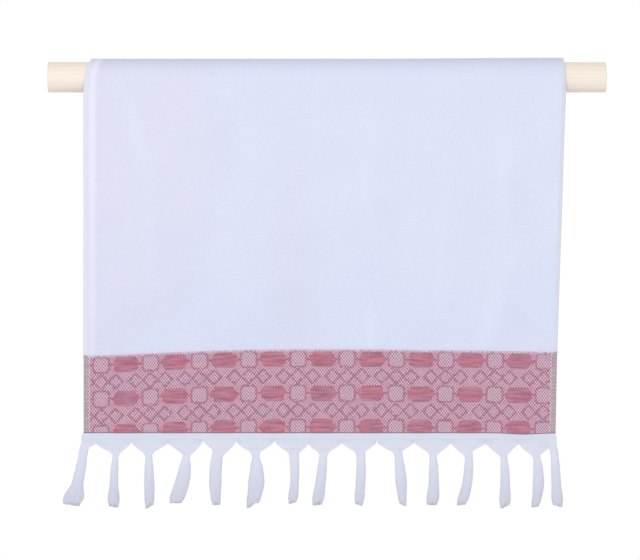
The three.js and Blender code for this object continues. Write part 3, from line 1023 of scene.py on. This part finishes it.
def jacquard_material(name, dark, pale, floats):
    """Cotton jacquard in rose and pale yarns. Each cell is two threads wide and high and shows
    one of the yarns, staggered like a chequerboard; the hexagons are long floats. dark, pale
    and both floats each give two tones of their yarn."""
    material, tree = new_material(name)
    weave = add_node(tree, "UVMap", uv_map="weave")

    # The motifs step from thread to thread, a little unevenly.
    cell = add_node(tree, "VectorMath", {0: weave, 1: CELL}, operation="SNAP")
    ragged = add_node(tree, "TexWhiteNoise", {"Vector": cell})
    ragged = add_node(tree, "Math", {0: ragged, 1: 0.5}, operation="SUBTRACT")
    stepped = add_node(tree, "VectorMath", {0: weave, 1: THREAD}, operation="SNAP")
    place = add_node(tree, "SeparateXYZ", {0: stepped})
    from_top = place.outputs["Y"]
    across = add_node(tree, "Math", {0: place, 1: FIRST_MOTIF_ACROSS}, operation="SUBTRACT")
    across = add_node(tree, "Math", {0: across, 1: MOTIF_ACROSS / 2}, operation="PINGPONG")
    across = add_node(tree, "Math", {0: ragged, 1: RAGGED_EDGE, 2: across}, operation="MULTIPLY_ADD")
    down = add_node(tree, "Math", {0: from_top, 1: FIRST_MOTIF_DOWN}, operation="SUBTRACT")
    down = add_node(tree, "Math", {0: down, 1: MOTIF_DOWN / 2}, operation="PINGPONG")
    bulging = add_node(tree, "Math", {0: down, 1: HEXAGON_HALF_HEIGHT}, operation="DIVIDE")
    bulging = add_node(tree, "Math", {0: bulging, 1: 2}, operation="POWER")

    # Later motifs lie over earlier ones. The ring round a rosette is paler beside it.
    distance = from_rosette(tree, across, down, ragged)
    rosette = add_node(tree, "Math", {0: distance, 1: ROSETTE_FILL}, operation="LESS_THAN")
    ring = add_node(tree, "Math", {0: distance, 1: ROSETTE_RING}, operation="LESS_THAN")
    above = add_node(tree, "Math", {0: down, 1: ROSETTE_FILL}, operation="DIVIDE", use_clamp=True)
    ring_tone = add_node(tree, "Mix", {"Factor": above, "A": RING, "B": LINE}, data_type="VECTOR")
    motifs = (
        (line_share(tree, across, down), LINE),
        (ring, ring_tone),
        (rosette, ROSETTE),
        (hexagon_share(tree, across, down, bulging), FLOATS),
    )
    design = GROUND
    for share, motif in motifs:
        design = add_node(tree, "Mix", {"Factor": share, "A": design, "B": motif}, data_type="VECTOR")
    base, spread, floating = add_node(tree, "SeparateXYZ", {0: design}).outputs

    # Cells of the weave, and the streaks that long floats show.
    cells = add_node(tree, "VectorMath", {0: weave, 1: CELL}, operation="DIVIDE")
    lighter = add_node(tree, "TexChecker", {"Vector": cells, "Scale": 1}).outputs["Fac"]
    shown = add_node(tree, "Math", {0: lighter, 1: spread, 2: base}, operation="MULTIPLY_ADD")
    shown = add_node(
        tree, "Math", {0: ragged, 1: RAGGED_TONE, 2: shown}, operation="MULTIPLY_ADD", use_clamp=True
    )
    size = (1 / STREAK_LENGTH, 1 / STREAK_HEIGHT, 1)
    stretched = add_node(tree, "VectorMath", {0: weave, 1: size}, operation="MULTIPLY")
    streaks = add_node(tree, "TexNoise", {"Vector": stretched, "Scale": 1, "Detail": 2})
    streaky = add_node(tree, "MapRange", {"Value": streaks, **STREAKS})
    size = (1 / BROAD_STREAK_LENGTH, 1 / BROAD_STREAK_HEIGHT, 1)
    broad = add_node(tree, "VectorMath", {0: weave, 1: size}, operation="MULTIPLY")
    broad = add_node(tree, "TexNoise", {"Vector": broad, "Scale": 1, "Detail": 1})
    broad = add_node(tree, "Math", {0: bulging, 1: -MAUVE_AT_ENDS, 2: broad}, operation="MULTIPLY_ADD")
    broad = add_node(tree, "MapRange", {"Value": broad, **BROAD_STREAKS})

    # The yarns were dyed unevenly, and the rose looks brighter where it floats.
    dyeing = add_node(tree, "TexNoise", {"Vector": weave, "Scale": 1 / DYEING_SIZE, "Detail": 3})
    dyeing = add_node(tree, "MapRange", {"Value": dyeing, **DYEING})
    yarns = []
    for (first, second), share in zip((dark, pale, *floats), (dyeing, dyeing, streaky, streaky)):
        yarn = add_node(tree, "Mix", {"Factor": share, "A": first, "B": second}, data_type="RGBA")
        yarns.append(yarn)
    rose, light, mauve, salmon = yarns
    floats = add_node(tree, "Mix", {"Factor": broad, "A": mauve, "B": salmon}, data_type="RGBA")
    rose = add_node(tree, "Mix", {"Factor": floating, "A": rose, "B": floats}, data_type="RGBA")
    off_band = add_node(tree, "MapRange", {"Value": down, **BAND})
    light = add_node(tree, "Mix", {"Factor": off_band, "A": BAND_PALE, "B": light}, data_type="RGBA")
    light = add_node(tree, "Mix", {"Factor": rosette, "A": light, "B": ROSETTE_PALE}, data_type="RGBA")
    woven = add_node(tree, "Mix", {"Factor": shown, "A": rose, "B": light}, data_type="RGBA")

    # Pile over the first picks, plain edges, and a painted shadow along the hem.
    covered = add_node(tree, "MapRange", {"Value": from_top, **COVERED})
    covered = add_node(tree, "Math", {0: ragged, 1: covered, 2: covered}, operation="MULTIPLY_ADD")
    woven = add_node(tree, "Mix", {"Factor": covered, "A": woven, "B": COVERED_PICKS}, data_type="RGBA")
    edged = plain_edges(tree, woven, weave, lighter, stretched)
    hem = add_node(tree, "SeparateXYZ", {0: add_node(tree, "UVMap", uv_map="hem")})
    above_hem = hem.outputs["Y"]
    # A painted shadow along the hem, where the border meets the header.
    hem_shadow = add_node(tree, "Math", {0: above_hem, 1: HEM_SHADOW_HEIGHT}, operation="LESS_THAN")
    colour = add_node(tree, "Mix", {"Factor": hem_shadow, "A": edged, "B": HEM_PAINTED_SHADOW}, data_type="RGBA")

    height = add_node(tree, "Math", {0: lighter, 1: 0.5, 2: streaks}, operation="MULTIPLY_ADD")
    finish_material(
        tree, colour, height, 0.08, Roughness=0.8, Sheen_Weight=0.1, Sheen_Roughness=0.4, IOR=1.5,
        Specular_IOR_Level=0.3,
    )
    return material


YARN_TONES = ("E0E4F2", "CED1DF")
PLY_PITCH = 2.6
PLY_HEIGHT = 1.4
FLUFF_SIZE = 1.6
FLUFF_SHADE = 0.2
TIP_PAINTED_SHADE = ramp(16, 44, 0, 0.7)


def yarn_material():
    """Soft-spun white cotton yarn in two plies: matt and fluffy, with a faint slanting twist. Painted
    shade darkens it towards the cut tips."""
    material, tree = new_material("soft_cotton_yarn")
    place = add_node(tree, "SeparateXYZ", {0: add_node(tree, "UVMap", uv_map="weave")})
    depth = place.outputs["Y"]
    turns = add_node(tree, "Math", {0: depth, 1: 1 / PLY_PITCH, 2: place}, operation="MULTIPLY_ADD")
    ply = add_node(tree, "Math", {0: turns, 1: 0.5}, operation="PINGPONG")
    solid = add_node(tree, "TexCoord").outputs["Object"]
    fluff = add_node(tree, "TexNoise", {"Vector": solid, "Scale": 1 / (FLUFF_SIZE * MM), "Detail": 3})
    # Painted shade that deepens towards the cut tips.
    tip = add_node(tree, "MapRange", {"Value": depth, **TIP_PAINTED_SHADE})
    shade = add_node(tree, "Math", {0: fluff, 1: FLUFF_SHADE, 2: tip}, operation="MULTIPLY_ADD")
    light, dull = YARN_TONES
    colour = add_node(tree, "Mix", {"Factor": shade, "A": light, "B": dull}, data_type="RGBA")
    height = add_node(tree, "Math", {0: ply, 1: PLY_HEIGHT, 2: fluff}, operation="MULTIPLY_ADD")
    finish_material(
        tree, colour, height, 0.03, Roughness=0.9, Sheen_Weight=0.3, Sheen_Roughness=0.5, IOR=1.5,
        Specular_IOR_Level=0.2,
    )
    return material


HEADER_TONES = ("DCE2EE", "D0D6E4")
HEADER_GRAIN = 0.9


def header_material():
    """Plain-woven white cotton: matt and slightly uneven. Its threads, a quarter millimetre
    apart, are too fine to show, so only a coarser grain is drawn."""
    material, tree = new_material("plain_white_cotton")
    weave = add_node(tree, "UVMap", uv_map="weave")
    grain = add_node(tree, "TexNoise", {"Vector": weave, "Scale": 1 / HEADER_GRAIN, "Detail": 3})
    light, dull = HEADER_TONES
    colour = add_node(tree, "Mix", {"Factor": grain, "A": light, "B": dull}, data_type="RGBA")
    finish_material(
        tree, colour, grain, 0.06, Roughness=0.9, Sheen_Weight=0.15, Sheen_Roughness=0.5, IOR=1.5,
        Specular_IOR_Level=0.2,
    )
    return material


# The rod was cut beside the tree's pith. The stretches draw its rings and flecks out along X.
WOOD_TONES = ("F9EDE1", "F0DFCB")
PITH_PLACE = (0, 5, 16)
RING_SPACING = 2.4
RING_STRETCH = (0.12, 1, 1)
RING_WANDER = {"Distortion": 2.2, "Detail": 2, "Detail Scale": 0.6}
RING_SHADE = 0.35
FLECK_SIZE = 0.7
FLECK_STRETCH = (0.05, 1, 1)
PALE_SHARE = 0.45


def wood_material():
    """Planed and sanded birch, left bare: pale, with soft growth rings and short flecks of
    grain that run along the rod."""
    material, tree = new_material("sanded_birch")
    solid = add_node(tree, "TexCoord").outputs["Object"]
    pith = [distance * MM for distance in PITH_PLACE]
    off_pith = add_node(tree, "Mapping", {"Vector": solid, "Location": pith})
    drawn_out = add_node(tree, "Mapping", {"Vector": off_pith, "Scale": RING_STRETCH})
    # A Wave texture has a ring every pi / 10 at a scale of 1.
    spacing = {"Vector": drawn_out, "Scale": math.pi / (10 * RING_SPACING * MM), **RING_WANDER}
    rings = add_node(tree, "TexWave", spacing, wave_type="RINGS", rings_direction="X")
    lengthwise = add_node(tree, "Mapping", {"Vector": solid, "Scale": FLECK_STRETCH})
    flecks = add_node(
        tree, "TexNoise", {"Vector": lengthwise, "Scale": 1 / (FLECK_SIZE * MM), "Detail": 3}
    )
    grain = add_node(tree, "Math", {0: rings, 1: RING_SHADE, 2: flecks}, operation="MULTIPLY_ADD")
    grain = add_node(tree, "Math", {0: grain, 1: PALE_SHARE}, operation="SUBTRACT", use_clamp=True)
    light, dark = WOOD_TONES
    colour = add_node(tree, "Mix", {"Factor": grain, "A": light, "B": dark}, data_type="RGBA")
    finish_material(tree, colour, grain, 0.05, Roughness=0.55, IOR=1.5)
    return material


# The stage

CAMERA_PLACE = (-4.4, -3012, -127.2)
CAMERA_LENS = 270
CAMERA_SENSOR = 36

FLOOR_Z = -450
FLOOR_RADIUS = 2400
FLOOR_SIDES = 128
FLOOR_TONES = ("F4F4F6", "F0F0F3")
PAPER_FINENESS = 40

# Soft boxes: where they stand in metres, how wide they are and how bright.
SOFT_BOXES = table(
    "name         place               width  power",
    ("key",       (-0.45, -3.1, 0.6), 2.2,   36.5),
    ("back",      (1.2, 2.6, 0.5),    2.0,   30),
)
WHITE = (1, 1, 1, 1)
WORLD_LIGHT = 0.68


def add_camera():
    """Level, three metres in front of the cloth, with a long lens: 0.4 m fills the picture."""
    place = [distance * MM for distance in CAMERA_PLACE]
    bpy.ops.object.camera_add(location=place, rotation=(math.pi / 2, 0, 0))
    camera = bpy.context.object
    camera.data.lens = CAMERA_LENS
    camera.data.sensor_width = CAMERA_SENSOR
    bpy.context.scene.camera = camera


def add_soft_box(name, place, width, power):
    """A square light that looks at the middle of the hanging towel."""
    towards = Vector((0, 0, CAMERA_PLACE[2] * MM)) - Vector(place)
    bpy.ops.object.light_add(type="AREA", location=place)
    light = bpy.context.object
    light.name = name
    light.rotation_euler = towards.to_track_quat("-Z", "Y").to_euler()
    light.data.shape = "SQUARE"
    light.data.size = width
    light.data.energy = power
    light.visible_camera = False


def light_world():
    """White all round: bright behind the object, and weaker as light on it."""
    world = bpy.data.worlds.new("studio")
    bpy.context.scene.world = world
    world.use_nodes = True
    tree = world.node_tree
    tree.nodes.clear()
    seen = add_node(tree, "Background", {"Color": WHITE, "Strength": 1})
    light = add_node(tree, "Background", {"Color": WHITE, "Strength": WORLD_LIGHT})
    ray = add_node(tree, "LightPath")
    mixed = add_node(tree, "MixShader", {0: ray.outputs["Is Camera Ray"], 1: light, 2: seen})
    add_node(tree, "OutputWorld", {"Surface": mixed})


def add_floor():
    deselect()
    bpy.ops.mesh.primitive_circle_add(
        vertices=FLOOR_SIDES, radius=FLOOR_RADIUS * MM, fill_type="NGON",
        location=(0, 0, FLOOR_Z * MM),
    )
    floor = new_piece("floor")
    material, tree = new_material("pale_studio_paper")
    paper = add_node(tree, "TexNoise", {"Scale": PAPER_FINENESS})
    light, dark = FLOOR_TONES
    colour = add_node(tree, "Mix", {"Factor": paper, "A": light, "B": dark}, data_type="RGBA")
    finish_material(tree, colour, paper, 0.02, Roughness=0.9)
    floor.data.materials.append(material)


# The pieces together


def dress(piece, materials, node):
    """Gives a piece its materials, hangs it on the root body and hides the solid it stands for."""
    for material in materials:
        piece.data.materials.append(material)
    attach(piece, "root")
    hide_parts(node)


def build():
    terry = terry_material()
    jacquard = jacquard_material("cotton_jacquard", ROSE, PALE, (MAUVE_FLOATS, SALMON_FLOATS))
    reverse = jacquard_material("cotton_jacquard_reverse", PALE, ROSE, (PALE, PALE))
    yarn = yarn_material()
    plain = header_material()

    rod = make_rod()
    dress(rod, [wood_material()], "rod")

    body = draped_sheet("terry_cloth", TERRY_GRID, terry_place, TERRY_THICKNESS, TERRY_ROUNDING)
    dress(body, [terry, terry], "towel")

    halves = table(
        "end      hem        side  tassels          seed  node",
        ("front", FRONT_HEM, 1,    FRONT_TASSELS,   11,   "fringe_front"),
        ("back",  BACK_HEM,  -1,   back_tassels(),  23,   "fringe_back"),
    )
    for half in halves:
        end, hem, side = half["end"], half["hem"], half["side"]
        place = border_place(hem, side)
        border = draped_sheet("border_" + end, BORDER_GRID, place, BORDER_THICKNESS, BORDER_ROUNDING)
        dress(border, [jacquard, reverse], "towel")
        place = header_place(hem, side)
        header = draped_sheet("header_" + end, HEADER_GRID, place, HEADER_THICKNESS, HEADER_ROUNDING)
        dress(header, [plain, plain], half["node"])
        yarns = make_tassels("tassels_" + end, half["tassels"], hem, side, half["seed"])
        dress(yarns, [yarn], half["node"])


build()
add_floor()
add_camera()
for box in SOFT_BOXES:
    add_soft_box(**box)
light_world()
bpy.context.scene.view_settings.view_transform = "Standard"
